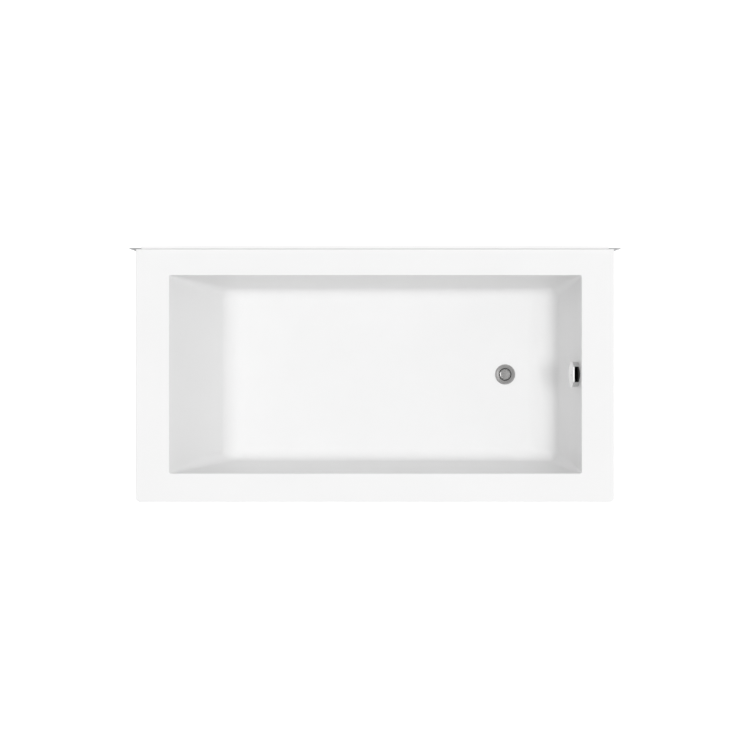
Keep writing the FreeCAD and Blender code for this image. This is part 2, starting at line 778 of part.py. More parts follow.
def make_end_panel(side, sign):
    """Tray at one end, behind the front panel's edge; returns the clips on the frame for it."""
    outward = sign == "1"
    front = f"(panel_return + panel_joint - {PANEL_Y})"
    face = f"({sign} * {PANEL_X})"
    depth = (f"{PANEL_X} - panel_return" if outward else f"-{PANEL_X}", "panel_return")
    hollow = (f"{depth[0]} {'-' if outward else '+'} panel_sheet", "panel_return")
    tray = cut(
        f"{side}_tray",
        box(f"{side}_blank", depth, (front, f"{PANEL_Y} - {front}"), PANEL_HEIGHT),
        box(f"{side}_hollow", hollow,
            (f"{front} + panel_sheet", f"{PANEL_Y} - {front} - 2 * panel_sheet"), PANEL_HOLLOW),
    )

    def show_edges(edge):
        bounds = edge.BoundBox
        if max(abs(bounds.XMin - value(face)), abs(bounds.XMax - value(face))) > 0.01:
            return None
        return value("panel_edge"), value("panel_edge")

    keep(round_off(f"{side}_panel", tray, show_edges))
    inward = "-x" if outward else "+x"
    sheet_back = f"{face} - {sign} * panel_sheet"
    clip_face = f"{sign} * ({FRAME_X} + clip_depth)"
    clip_span = (FRAME_X if outward else f"-{FRAME_X} - clip_depth", "clip_depth")
    pegs = []
    clips = []
    for number, (y, z) in enumerate(END_PEGS, start=1):
        pegs.append(peg(f"{side}_peg_{number}", (sheet_back, y, z), inward))
        clips.append(clip(f"{side}_clip_{number}", clip_span, clip_width_at(y), clip_height_at(z),
                          (clip_face, y, z), inward))
    keep(group(f"{side}_panel_pegs", pegs))
    return clips


# Drain and stopper

SPIDER_TOP = "(spider_height - spider_drop)"


def make_drain_flange():
    """Turned flange and throat, with a four-armed spider that carries the stopper's post."""
    body = part_body("drain_flange")
    place(body, DRAIN_X, "0", "floor_height")
    crest = "drain_flange_radius - drain_flange_bevel"
    turned(body, "drain_profile",
           [("drain_flange_radius", "0"), ("drain_flange_radius", "drain_flange_height / 4"),
            (crest, "drain_flange_height"), (f"{crest} - drain_flange_land", "drain_flange_height"),
            ("drain_throat_radius + drain_lip", "drain_flange_height / 2"), ("drain_throat_radius", "0"),
            ("drain_throat_radius", "-drain_body_drop"), (DRAIN_BODY_RADIUS, "-drain_body_drop"),
            (DRAIN_BODY_RADIUS, "0")])
    arm = "(drain_throat_radius + drain_wall / 2)"
    for name, across, up in (("bar_x", arm, "(spider_bar / 2)"), ("bar_y", "(spider_bar / 2)", arm)):
        bar = outline(body, name, "XY_Plane",
                      [(f"-{across}", f"-{up}"), (across, f"-{up}"), (across, up), (f"-{across}", up)])
        bind(bar, "AttachmentOffset.Base.z", "-spider_drop")
        pad(body, bar, "spider_height")
    hub = plane_sketch(body, "hub", "XY_Plane")
    hole(hub, "0", "0", "hub_radius")
    bind(hub, "AttachmentOffset.Base.z", "-spider_drop")
    pad(body, hub, "spider_height")
    bore = plane_sketch(body, "hub_bore", "XY_Plane")
    hole(bore, "0", "0", "post_tail + guide_clearance")
    bind(bore, "AttachmentOffset.Base.z", SPIDER_TOP)
    pocket = body.newObject("PartDesign::Pocket", "hub_pocket")
    pocket.Profile = bore
    bind(pocket, "Length", "2 * spider_height")
    keep(body)


def make_stopper():
    """Moving cap, seal and stem, and the fixed post that the stem slides on. Shown closed."""
    post = part_body("stopper_post")
    place(post, DRAIN_X, "0", "floor_height")
    shoulder_top = f"({SPIDER_TOP} + post_shoulder_height)"
    seal_under = "(cap_lift - seal_thickness)"
    guide_top = f"({seal_under} - guide_top_gap)"
    seal_radius = "(drain_throat_radius - seal_gap)"
    cap_radius = f"({seal_radius} - cap_setback)"
    turned(post, "post_profile",
           [("0", "-drain_body_drop"), ("post_tail", "-drain_body_drop"), ("post_tail", SPIDER_TOP),
            ("post_shoulder", SPIDER_TOP), ("post_shoulder", shoulder_top), ("guide_radius", shoulder_top),
            ("guide_radius", guide_top), ("0", guide_top)])
    keep(post)
    cap = part_body("stopper_cap")
    place(cap, DRAIN_X, "0", "floor_height")
    cap_top = "(cap_lift + cap_thickness)"
    turned(cap, "cap_profile",
           [("0", "cap_lift"), (cap_radius, "cap_lift"), (cap_radius, f"{cap_top} - 2 * cap_edge"),
            (f"{cap_radius} - cap_edge / 2", f"{cap_top} - cap_edge"),
            (f"{cap_radius} - 2 * cap_edge", f"{cap_top} - cap_crown"), ("0", cap_top)])
    keep(cap)
    seal = part_body("stopper_seal")
    place(seal, DRAIN_X, "0", "floor_height")
    turned(seal, "seal_profile",
           [("0", seal_under), (f"{seal_radius} - seal_bevel", seal_under),
            (seal_radius, f"{seal_under} + seal_bevel"), (seal_radius, "cap_lift"), ("0", "cap_lift")])
    keep(seal)
    keep(ring("stopper_stem", "stem_radius", "guide_radius + guide_clearance",
              f"{seal_under} - {shoulder_top} - stem_gap",
              (DRAIN_X, "0", f"floor_height + {shoulder_top} + stem_gap")))


def make_drain_shoe():
    keep(ring("drain_gasket", GASKET_RADIUS, GASKET_BORE, "gasket_thickness", (DRAIN_X, "0", GASKET_UNDER)))
    centre = (DRAIN_X, "0")
    cup_under = f"({PIPE_Z} - {SOCKET_RADIUS} - shoe_floor / 2)"
    solid = fuse(
        "shoe_solid",
        cylinder("shoe_disc", GASKET_RADIUS, "shoe_flange", (*centre, f"{GASKET_UNDER} - shoe_flange")),
        cylinder("shoe_cup", f"{DRAIN_BODY_RADIUS} + shoe_wall", f"{GASKET_UNDER} - {cup_under}",
                 (*centre, cup_under)),
        cylinder("shoe_outlet", SOCKET_RADIUS, "shoe_reach", (*centre, PIPE_Z), "+x"),
    )
    keep(cut(
        "drain_shoe",
        solid,
        cylinder("shoe_bore", f"{DRAIN_BODY_RADIUS} + pipe_clearance",
                 f"{GASKET_UNDER} - {cup_under} - shoe_floor", (*centre, f"{cup_under} + shoe_floor")),
        cylinder("shoe_outlet_bore", PIPE_BORE, "shoe_reach", (*centre, PIPE_Z), "+x"),
        cylinder("shoe_socket", SOCKET_BORE, "socket_depth",
                 (f"{DRAIN_X} + shoe_reach - socket_depth", "0", PIPE_Z), "+x"),
    ))


# Overflow

def make_overflow_cap():
    """Round cap standing off the wall, with a mouth in the top of its skirt and its face cut level there."""
    body = face_basin(part_body("overflow_cap"))
    face_back = "overflow_reach - overflow_face"
    edge_top = "overflow_reach - overflow_dome"
    skirt = "overflow_cap_radius - overflow_taper"
    turned(body, "cap_shell_profile",
           [("0", "overflow_reach"), ("overflow_cap_radius - overflow_bevel", edge_top),
            ("overflow_cap_radius", f"{edge_top} - overflow_bevel"), ("overflow_cap_radius", face_back),
            (skirt, "0"), (f"{skirt} - overflow_skin", "0"),
            ("overflow_cap_radius - overflow_skin", face_back), ("0", face_back)])
    mouth = plane_sketch(body, "mouth", "YZ_Plane")
    left = Vector(-value("notch_half_width"), value("notch_shoulder"), 0)
    right = Vector(value("notch_half_width"), value("notch_shoulder"), 0)
    top_left = Vector(left.x, value(face_back), 0)
    top_right = Vector(right.x, value(face_back), 0)
    low = Vector(0, value("notch_end"), 0)
    mouth.addGeometry(Part.Arc(left, low, right))
    for start, end in ((right, top_right), (top_right, top_left), (top_left, left)):
        mouth.addGeometry(Part.LineSegment(start, end))
    for geometry in range(1, 4):
        hold(mouth, geometry, 1, "notch_half_width" if geometry < 3 else "-notch_half_width",
             "notch_shoulder" if geometry == 1 else face_back)
    for first, last in ((1, 2), (2, 3)):
        mouth.addConstraint(Sketcher.Constraint("Coincident", first, 2, last, 1))
    hold(mouth, 3, 2, "-notch_half_width", "notch_shoulder")
    mouth.addConstraint(Sketcher.Constraint("Coincident", 0, 1, 3, 2))
    mouth.addConstraint(Sketcher.Constraint("Coincident", 0, 2, 1, 1))
    bow = "(notch_shoulder - notch_end)"
    radius = f"(notch_half_width * notch_half_width + {bow} * {bow}) / (2 * {bow})"
    index = mouth.addConstraint(Sketcher.Constraint("Radius", 0, value(radius)))
    bind(mouth, f"Constraints[{index}]", radius)
    pocket = body.newObject("PartDesign::Pocket", "mouth_pocket")
    pocket.Profile = mouth
    pocket.Reversed = True
    bind(pocket, "Length", "2 * overflow_cap_radius")
    sill = "sqrt(overflow_cap_radius * overflow_cap_radius - notch_half_width * notch_half_width)"
    above = "2 * overflow_cap_radius"
    face_top = outline(body, "face_top", "XZ_Plane",
                       [(sill, face_back), (above, face_back),
                        (above, "overflow_reach"), (sill, "overflow_reach")])
    level_cut = body.newObject("PartDesign::Pocket", "level_cut")
    level_cut.Profile = face_top
    level_cut.SideType = "Symmetric"
    bind(level_cut, "Length", "2 * overflow_cap_radius")
    keep(body)


def make_overflow_back():
    """Bush through the wall, gasket behind it, and the elbow that turns the water down."""
    bush = face_basin(part_body("overflow_bush"))
    bush_radius = "(overflow_hole_radius - bush_clearance)"
    bush_bore = f"({bush_radius} - bush_wall)"
    bush_rim = "overflow_cap_radius - overflow_taper - overflow_skin - bush_gap"
    turned(bush, "bush_profile",
           [(bush_bore, "bush_flange"), (bush_rim, "bush_flange"), (bush_rim, "0"), (bush_radius, "0"),
            (bush_radius, "-bush_length"), (bush_bore, "-bush_length")])
    keep(bush)
    gasket_back = "(-shell_wall - gasket_thickness)"
    disc_radius = "overflow_hole_radius + overflow_gasket_width"
    keep(cut(
        "overflow_gasket",
        overflow_bar("overflow_gasket_disc", disc_radius, gasket_back, "gasket_thickness"),
        overflow_bar("overflow_gasket_bore", "overflow_hole_radius", gasket_back, "gasket_thickness"),
    ))
    chamber_back = f"(-{PIPE_OFFSET} / cos(drain_slope) - {PIPE_BORE} - elbow_wall)"
    chamber_length = f"({gasket_back} - {chamber_back})"
    down_length = f"(elbow_drop - {PIPE_OFFSET} * tan(drain_slope))"
    down_start = (PIPE_X, "0", ELBOW_UNDER)
    solid = fuse(
        "elbow_solid",
        overflow_bar("elbow_disc", disc_radius, f"{gasket_back} - elbow_flange", "elbow_flange"),
        overflow_bar("elbow_chamber", "elbow_radius", chamber_back, chamber_length),
        cylinder("elbow_down", SOCKET_RADIUS, down_length, down_start),
    )
    keep(cut(
        "overflow_elbow",
        solid,
        overflow_bar("elbow_bush_bore", f"{bush_radius} + pipe_clearance", "-bush_length - elbow_wall",
                     "bush_length"),
        overflow_bar("elbow_bore", "elbow_radius - elbow_wall", f"{chamber_back} + elbow_wall",
                     chamber_length),
        cylinder("elbow_down_bore", PIPE_BORE, down_length, down_start),
        cylinder("elbow_socket", SOCKET_BORE, "socket_depth", down_start),
    ))


# Waste pipes

def make_waste_pipes():
    tee_top = f"({PIPE_Z} + {TEE_HALF})"
    tee_under = f"({PIPE_Z} - {TEE_HALF})"
    branch_end = f"({PIPE_X} - {TEE_BRANCH})"
    shoe_end = f"({DRAIN_X} + shoe_reach)"
    solid = fuse(
        "tee_solid",
        cylinder("tee_run", SOCKET_RADIUS, f"2 * {TEE_HALF}", (PIPE_X, "0", tee_under)),
        cylinder("tee_arm", SOCKET_RADIUS, TEE_BRANCH, (branch_end, "0", PIPE_Z), "+x"),
    )
    keep(cut(
        "waste_tee",
        solid,
        cylinder("tee_run_bore", PIPE_BORE, f"2 * {TEE_HALF}", (PIPE_X, "0", tee_under)),
        cylinder("tee_arm_bore", PIPE_BORE, TEE_BRANCH, (branch_end, "0", PIPE_Z), "+x"),
        cylinder("tee_top_socket", SOCKET_BORE, "socket_depth", (PIPE_X, "0", f"{tee_top} - socket_depth")),
        cylinder("tee_low_socket", SOCKET_BORE, "socket_depth", (PIPE_X, "0", tee_under)),
        cylinder("tee_arm_socket", SOCKET_BORE, "socket_depth", (branch_end, "0", PIPE_Z), "+x"),
    ))
    pipe_start = f"({shoe_end} - socket_depth)"
    keep(ring("drain_pipe", "pipe_radius", PIPE_BORE, f"{branch_end} + socket_depth - {pipe_start}",
              (pipe_start, "0", PIPE_Z), "+x"))
    pipe_low = f"({tee_top} - socket_depth)"
    keep(ring("overflow_pipe", "pipe_radius", PIPE_BORE, f"{ELBOW_UNDER} + socket_depth - {pipe_low}",
              (PIPE_X, "0", pipe_low)))
    nut_under = f"({tee_under} - slip_nut_end)"
    tail_start = (PIPE_X, "0", f"{nut_under} - tail_reach")
    tail_length = "tail_reach + slip_nut_end + socket_depth"
    keep(cut(
        "tailpiece",
        fuse("tail_solid", cylinder("tail_tube", "pipe_radius", tail_length, tail_start),
             cylinder("tail_bead", "pipe_radius + tail_bead_height", "tail_bead_width",
                      (PIPE_X, "0", f"{nut_under} - tail_bead_width"))),
        cylinder("tail_bore", PIPE_BORE, tail_length, tail_start),
    ))
    nuts = [
        slip_nut("slip_nut_shoe", (f"{shoe_end} - slip_nut_grip", "0", PIPE_Z), "+x"),
        slip_nut("slip_nut_branch", (f"{branch_end} + slip_nut_grip", "0", PIPE_Z), "-x"),
        slip_nut("slip_nut_top", (PIPE_X, "0", f"{tee_top} - slip_nut_grip"), "+z"),
        slip_nut("slip_nut_tail", (PIPE_X, "0", f"{tee_under} + slip_nut_grip"), "-z"),
        slip_nut("slip_nut_elbow", (PIPE_X, "0", f"{ELBOW_UNDER} + slip_nut_grip"), "-z"),
    ]
    keep(group("slip_nuts", nuts))


def slip_nut(name, start, axis):
    """Eight-sided nut over a socket's end, closing in to the pipe."""
    return cut(
        name,
        prism(f"{name}_blank", "slip_nut_radius", "slip_nut_grip + slip_nut_end", start, 8, axis),
        cylinder(f"{name}_grip", f"{SOCKET_RADIUS} + pipe_clearance", "slip_nut_grip", start, axis),
        cylinder(f"{name}_bore", SOCKET_BORE, "slip_nut_grip + slip_nut_end", start, axis),
    )


make_tub_shell()
make_base_board()
make_tiling_flange()
make_frame()
for side, sign in SIDES.items():
    make_wall_bracket(side, sign)
make_bracket_screws()
make_feet()
panel_clips = make_front_panel()
for side, sign in SIDES.items():
    panel_clips += make_end_panel(side, sign)
keep(group("panel_clips", panel_clips))
make_drain_flange()
make_stopper()
make_drain_shoe()
make_overflow_cap()
make_overflow_back()
make_waste_pipes()

# Check every object, then write one file for each piece
doc.recompute()
for thing in doc.Objects:
    if "Invalid" in thing.State or "Error" in thing.State:
        raise RuntimeError(f"{thing.Label} did not build: {thing.State}")
os.makedirs("parts", exist_ok=True)
for thing in nodes:
    if thing.Shape.isNull() or not thing.Shape.isValid() or not thing.Shape.Solids:
        raise RuntimeError(f"{thing.Label} has no valid solid")
    thing.Shape.exportStep(f"parts/{thing.Label}.step")
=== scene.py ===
import json
import math

import bpy
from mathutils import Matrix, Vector

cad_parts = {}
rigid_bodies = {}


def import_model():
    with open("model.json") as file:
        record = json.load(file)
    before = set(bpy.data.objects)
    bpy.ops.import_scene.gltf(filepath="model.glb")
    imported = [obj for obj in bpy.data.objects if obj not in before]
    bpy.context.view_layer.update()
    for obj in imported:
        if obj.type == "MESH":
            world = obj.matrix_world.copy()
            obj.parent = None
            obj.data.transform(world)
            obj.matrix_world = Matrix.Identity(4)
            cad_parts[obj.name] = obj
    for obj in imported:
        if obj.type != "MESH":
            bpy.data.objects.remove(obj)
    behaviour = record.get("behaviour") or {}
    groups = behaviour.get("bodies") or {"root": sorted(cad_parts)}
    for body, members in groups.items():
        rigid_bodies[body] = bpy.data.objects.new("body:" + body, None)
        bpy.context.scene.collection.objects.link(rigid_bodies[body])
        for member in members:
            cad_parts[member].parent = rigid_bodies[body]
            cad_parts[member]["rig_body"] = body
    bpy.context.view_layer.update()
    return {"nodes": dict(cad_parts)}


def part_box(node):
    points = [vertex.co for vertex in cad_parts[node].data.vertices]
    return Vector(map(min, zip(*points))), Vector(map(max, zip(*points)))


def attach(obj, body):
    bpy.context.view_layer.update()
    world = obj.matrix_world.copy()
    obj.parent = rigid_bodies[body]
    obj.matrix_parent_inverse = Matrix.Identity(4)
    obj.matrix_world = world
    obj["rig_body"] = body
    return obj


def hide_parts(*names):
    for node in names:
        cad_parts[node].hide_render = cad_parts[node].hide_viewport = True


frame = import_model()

# Finishes, small shapes, light and camera for a white soaking tub seen from straight above. Lengths are
# in metres, in the frame of the solids: +X runs to the drain end, +Y to the wall and +Z up.

nodes = frame["nodes"]
shell_low, shell_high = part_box("tub_shell")
deck_top = shell_high.z
rim_length = shell_high.x - shell_low.x

MILLIMETRE = 0.001


# Node helpers

# Most of a noise texture's values lie between these two
NOISE_LOW = 0.3
NOISE_HIGH = 0.7

# Numbers of the mix node's sockets: the share and two colours that go in, and the colour that comes out
MIX_SHARE = 0
MIX_FIRST = 6
MIX_SECOND = 7
MIX_RESULT = 2


class Recipe:
    """Builds one procedural material round a single shader."""

    def __init__(self, name, **constants):
        self.material = bpy.data.materials.new(name)
        self.material.use_nodes = True
        self.nodes = self.material.node_tree.nodes
        self.links = self.material.node_tree.links
        self.shader = self.nodes["Principled BSDF"]
        coordinates = self.nodes.new("ShaderNodeTexCoord")
        self.place = coordinates.outputs["Object"]
        self.facing = coordinates.outputs["Normal"]
        for socket, value in constants.items():
            self.shader.inputs[socket.replace("_", " ")].default_value = value

    def add(self, kind, inputs, output=0, **settings):
        """Adds one node, fills its inputs with values or links, and gives one of its outputs."""
        node = self.nodes.new(kind)
        for name, value in settings.items():
            setattr(node, name, value)
        for socket, value in inputs.items():
            if isinstance(value, bpy.types.NodeSocket):
                self.links.new(value, node.inputs[socket])
            else:
                node.inputs[socket].default_value = value
        return node.outputs[output]

    def noise(self, grain, detail=3.0, where=None):
        """Cloudy noise whose blobs are about one grain across."""
        return self.add("ShaderNodeTexNoise",
                        {"Vector": where or self.place, "Scale": 1 / grain, "Detail": detail})

    def cells(self, grain):
        """Irregular patches about one grain across."""
        return self.add("ShaderNodeTexVoronoi", {"Vector": self.place, "Scale": 1 / grain}, "Color")

    def stretched(self, x, y, z, turn=0.0):
        """Coordinates scaled along each axis, for grain that runs one way."""
        return self.add("ShaderNodeMapping",
                        {"Vector": self.place, "Scale": (x, y, z), "Rotation": (turn, turn, turn)})

    def span(self, source, low, high, source_low=NOISE_LOW, source_high=NOISE_HIGH):
        """A source's range of values carried onto another range."""
        return self.add("ShaderNodeMapRange", {
            "Value": source, "From Min": source_low, "From Max": source_high,
            "To Min": low, "To Max": high,
        })

    def blend(self, share, first, second):
        """Mix of two colours."""
        return self.add("ShaderNodeMix", {MIX_SHARE: share, MIX_FIRST: first, MIX_SECOND: second},
                        MIX_RESULT, data_type="RGBA")

    def vector(self, operation, first, second, output=0):
        """Result of a sum on two vectors."""
        return self.add("ShaderNodeVectorMath", {0: first, 1: second}, output, operation=operation)

    def set(self, socket, source):
        """Feeds one of the shader's sockets."""
        self.links.new(source, self.shader.inputs[socket])

    def colour(self, share, first, second):
        """Base colour that wanders between two colours."""
        self.set("Base Color", self.blend(self.span(share, 0, 1), first, second))

    def roughness(self, share, low, high):
        """Roughness that wanders between two values."""
        self.set("Roughness", self.span(share, low, high))

    def relief(self, height, depth, strength):
        """Bump of about the given depth."""
        self.set("Normal", self.add("ShaderNodeBump",
                                    {"Height": height, "Distance": depth, "Strength": strength}))


def grey(level, warmth=0.0):
    """Colour of one brightness, a little warm or cool."""
    return level * (1 + warmth), level, level * (1 - warmth), 1.0


# Materials

ACRYLIC_IOR = 1.49
SOFT_SHEEN = (0.38, 0.46)

# Upward parts of the surface normal between which the shell goes from its backing to its sheet
BACKING_TILT = (-0.03, -0.015)


def white_sheet(recipe):
    """Colour, roughness and ripple of the acrylic sheet."""
    white = recipe.blend(recipe.span(recipe.noise(250 * MILLIMETRE), 0, 1), grey(0.872), grey(0.888))
    haze = recipe.span(recipe.noise(40 * MILLIMETRE), *SOFT_SHEEN)
    ripple = recipe.noise(12 * MILLIMETRE, detail=2.0)
    return white, haze, ripple


def acrylic():
    """White sheet with a soft sheen."""
    recipe = Recipe("white_acrylic", IOR=ACRYLIC_IOR)
    white, haze, ripple = white_sheet(recipe)
    recipe.set("Base Color", white)
    recipe.set("Roughness", haze)
    recipe.relief(ripple, depth=0.1 * MILLIMETRE, strength=0.08)
    return recipe.material


def moulded_shell():
    """White sheet, and the sprayed glass fibre that backs it on faces that look down."""
    recipe = Recipe("moulded_shell", IOR=ACRYLIC_IOR)
    white, haze, ripple = white_sheet(recipe)
    tilt = recipe.add("ShaderNodeSeparateXYZ", {0: recipe.facing}, "Z")
    backed = recipe.span(tilt, 1, 0, *BACKING_TILT)
    # Two sets of long blobs that cross each other
    strand = 4 * MILLIMETRE
    strands = recipe.add("ShaderNodeMath", {
        0: recipe.noise(strand, detail=2.0, where=recipe.stretched(1, 0.12, 1, 0.6)),
        1: recipe.noise(strand, detail=2.0, where=recipe.stretched(0.12, 1, 0.5, -0.4)),
    }, operation="MAXIMUM")
    resin = recipe.blend(recipe.span(strands, 0, 1, 0.4, 0.75),
                         (0.56, 0.54, 0.47, 1), (0.75, 0.735, 0.68, 1))
    matt = recipe.span(strands, 0.6, 0.4)
    faint_ripple = recipe.span(ripple, 0, 0.01)
    recipe.set("Base Color", recipe.blend(backed, white, resin))
    recipe.set("Roughness", recipe.span(backed, haze, matt, 0, 1))
    recipe.relief(recipe.span(backed, faint_ripple, strands, 0, 1), depth=0.8 * MILLIMETRE, strength=0.8)
    return recipe.material


def strip_plastic():
    """Extruded strip with faint lines along its run."""
    recipe = Recipe("strip_plastic", IOR=1.5)
    recipe.colour(recipe.noise(100 * MILLIMETRE), grey(0.89), grey(0.91))
    recipe.roughness(recipe.noise(20 * MILLIMETRE), *SOFT_SHEEN)
    lines = recipe.noise(6 * MILLIMETRE, detail=2.0, where=recipe.stretched(0.01, 1, 1))
    recipe.relief(lines, depth=0.05 * MILLIMETRE, strength=0.1)
    return recipe.material


def particle_board():
    """Pressed chips in shades between two browns."""
    recipe = Recipe("particle_board")
    chips = recipe.cells(6 * MILLIMETRE)
    recipe.set("Base Color", recipe.blend(chips, (0.42, 0.29, 0.17, 1), (0.62, 0.47, 0.30, 1)))
    recipe.roughness(recipe.noise(10 * MILLIMETRE), 0.65, 0.9)
    recipe.relief(recipe.noise(4 * MILLIMETRE), depth=0.6 * MILLIMETRE, strength=0.6)
    return recipe.material


def powder_coat():
    """Grey powder coat with its orange-peel skin."""
    recipe = Recipe("powder_coat")
    recipe.colour(recipe.noise(60 * MILLIMETRE), grey(0.20, -0.02), grey(0.25, -0.02))
    recipe.roughness(recipe.noise(10 * MILLIMETRE), 0.42, 0.58)
    recipe.relief(recipe.noise(1.5 * MILLIMETRE), depth=0.2 * MILLIMETRE, strength=0.5)
    return recipe.material


def zinc_plate():
    """Bright zinc with a fine crystal bloom and a few duller clouds."""
    recipe = Recipe("zinc_plate", Metallic=1.0)
    bloom = recipe.blend(recipe.cells(2.5 * MILLIMETRE), grey(0.55, -0.01), grey(0.62, -0.01))
    cloud = recipe.span(recipe.noise(30 * MILLIMETRE), 0, 0.5)
    recipe.set("Base Color", recipe.blend(cloud, bloom, grey(0.50, -0.01)))
    recipe.roughness(recipe.noise(6 * MILLIMETRE), 0.3, 0.46)
    recipe.relief(recipe.noise(2 * MILLIMETRE), depth=0.1 * MILLIMETRE, strength=0.3)
    return recipe.material


def moulded_rubber(name, grain, darkest, lightest):
    """Dull rubber with a fine moulded grain."""
    recipe = Recipe(name)
    recipe.colour(recipe.noise(grain * 4), grey(darkest), grey(lightest))
    recipe.roughness(recipe.noise(grain), 0.6, 0.85)
    recipe.relief(recipe.noise(grain), depth=0.2 * MILLIMETRE, strength=0.4)
    return recipe.material


def nylon():
    """Undyed nylon, a little warm."""
    recipe = Recipe("natural_nylon", IOR=1.53)
    recipe.colour(recipe.noise(20 * MILLIMETRE), grey(0.62, 0.02), grey(0.72, 0.03))
    recipe.roughness(recipe.noise(4 * MILLIMETRE), 0.35, 0.55)
    recipe.relief(recipe.noise(2 * MILLIMETRE), depth=0.1 * MILLIMETRE, strength=0.3)
    return recipe.material


def brushed_nickel():
    """Nickel brushed in rings round the drain's axis."""
    recipe = Recipe("brushed_nickel", Metallic=1.0)
    low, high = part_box("drain_flange")
    spoke = recipe.vector("SUBTRACT", recipe.place, (low + high) / 2)
    level_spoke = recipe.vector("MULTIPLY", spoke, (1, 1, 0))
    radius = recipe.vector("LENGTH", level_spoke, (0, 0, 0), "Value")
    rings_per_metre = 1800.0
    lines = recipe.add("ShaderNodeTexNoise", {"W": radius, "Scale": rings_per_metre, "Detail": 3.0},
                       noise_dimensions="1D")
    recipe.colour(recipe.noise(5 * MILLIMETRE), grey(0.42, 0.01), grey(0.48, 0.01))
    recipe.roughness(lines, 0.2, 0.34)
    recipe.relief(lines, depth=0.06 * MILLIMETRE, strength=0.35)
    return recipe.material


def chrome():
    """Polished plate outside. The faces that look back at the cap's root are dull dark grey: partly the
    bare casting inside, partly painted shade standing for the dark hollow of the opening.
    """
    recipe = Recipe("polished_chrome", Metallic=1.0)
    low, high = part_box("overflow_cap")
    root = Vector((high.x - 3 * MILLIMETRE, 0, (low.z + high.z) / 2))
    reach = recipe.vector("SUBTRACT", recipe.place, root)
    outward = recipe.vector("DOT_PRODUCT", reach, recipe.facing, "Value")
    seam = 0.2 * MILLIMETRE
    # Share of plate: 1 on faces that look away from the root, 0 on the inside faces, which get painted
    # shade
    plate_not_inside_shade = recipe.span(outward, 0, 1, -seam, seam)
    plate = recipe.blend(recipe.span(recipe.noise(20 * MILLIMETRE), 0, 1), grey(0.66), grey(0.71))
    polish = recipe.span(recipe.noise(6 * MILLIMETRE), 0.05, 0.12)
    # Inside faces: dark grey, dull and not metallic, partly bare casting and partly painted shade of the
    # opening's hollow
    recipe.set("Base Color", recipe.blend(plate_not_inside_shade, grey(0.3), plate))
    recipe.set("Roughness", recipe.span(plate_not_inside_shade, 0.6, polish, 0, 1))
    recipe.set("Metallic", plate_not_inside_shade)
    return recipe.material


def brass():
    """Brass with fine marks from turning."""
    recipe = Recipe("turned_brass", Metallic=1.0)
    recipe.colour(recipe.noise(4 * MILLIMETRE), (0.50, 0.34, 0.12, 1), (0.68, 0.50, 0.22, 1))
    marks = recipe.noise(1 * MILLIMETRE, where=recipe.stretched(0.1, 0.1, 1))
    recipe.roughness(marks, 0.2, 0.4)
    return recipe.material


def black_plastic():
    """Black plastic with a fine moulded grain."""
    recipe = Recipe("moulded_black", IOR=1.5)
    recipe.colour(recipe.noise(20 * MILLIMETRE), grey(0.032), grey(0.048))
    recipe.roughness(recipe.noise(3 * MILLIMETRE), 0.35, 0.55)
    recipe.relief(recipe.noise(1.5 * MILLIMETRE), depth=0.1 * MILLIMETRE, strength=0.4)
    return recipe.material


def bead_steel():
    """Painted weld metal, darker and rougher than the tube."""
    recipe = Recipe("bead_steel")
    recipe.colour(recipe.noise(4 * MILLIMETRE), grey(0.13), grey(0.20))
    recipe.roughness(recipe.noise(2 * MILLIMETRE), 0.4, 0.65)
    recipe.relief(recipe.noise(1 * MILLIMETRE), depth=0.3 * MILLIMETRE, strength=0.5)
    return recipe.material


FINISHES = {
    "acrylic": acrylic(),
    "flange_plastic": strip_plastic(),
    "board_wood": particle_board(),
    "frame_paint": powder_coat(),
    "zinc_steel": zinc_plate(),
    "foot_rubber": moulded_rubber("pad_rubber", 3 * MILLIMETRE, 0.02, 0.045),
    "nylon": nylon(),
    "nickel": brushed_nickel(),
    "chrome": chrome(),
    "brass": brass(),
    "seal_rubber": moulded_rubber("soft_rubber", 1.5 * MILLIMETRE, 0.12, 0.18),
    "black_plastic": black_plastic(),
}
for node in nodes.values():
    for holder in node.material_slots:
        holder.material = FINISHES[holder.material.name]
nodes["tub_shell"].material_slots[0].material = moulded_shell()


# Mesh helpers

SHARP_EDGE = math.radians(35)

# Which of a ring's coordinates become X, Y and Z when its third one runs along an axis
TURNED = {"x": (2, 0, 1), "y": (1, 2, 0), "z": (0, 1, 2)}


def along(axis, centre, ring):
    """A ring's points carried to a centre, with their third coordinate along an axis."""
    return [centre + Vector([point[index] for index in TURNED[axis]]) for point in ring]


def circle(radius, height, count=24, lobes=0, depth=0.0):
    """Level ring of points, with its radius dipped between a number of lobes."""
    ring = []
    for step in range(count):
        angle = 2 * math.pi * step / count
        reach = radius - depth * (1 - math.cos(lobes * angle)) / 2
        ring.append((reach * math.cos(angle), reach * math.sin(angle), height))
    return ring


def rounded_square(half, corner, height, steps=5):
    """Level square ring with rounded corners."""
    ring = []
    for quarter, (x, y) in enumerate(((1, 1), (-1, 1), (-1, -1), (1, -1))):
        for step in range(steps + 1):
            angle = math.pi / 2 * (quarter + step / steps)
            ring.append((x * (half - corner) + corner * math.cos(angle),
                         y * (half - corner) + corner * math.sin(angle), height))
    return ring


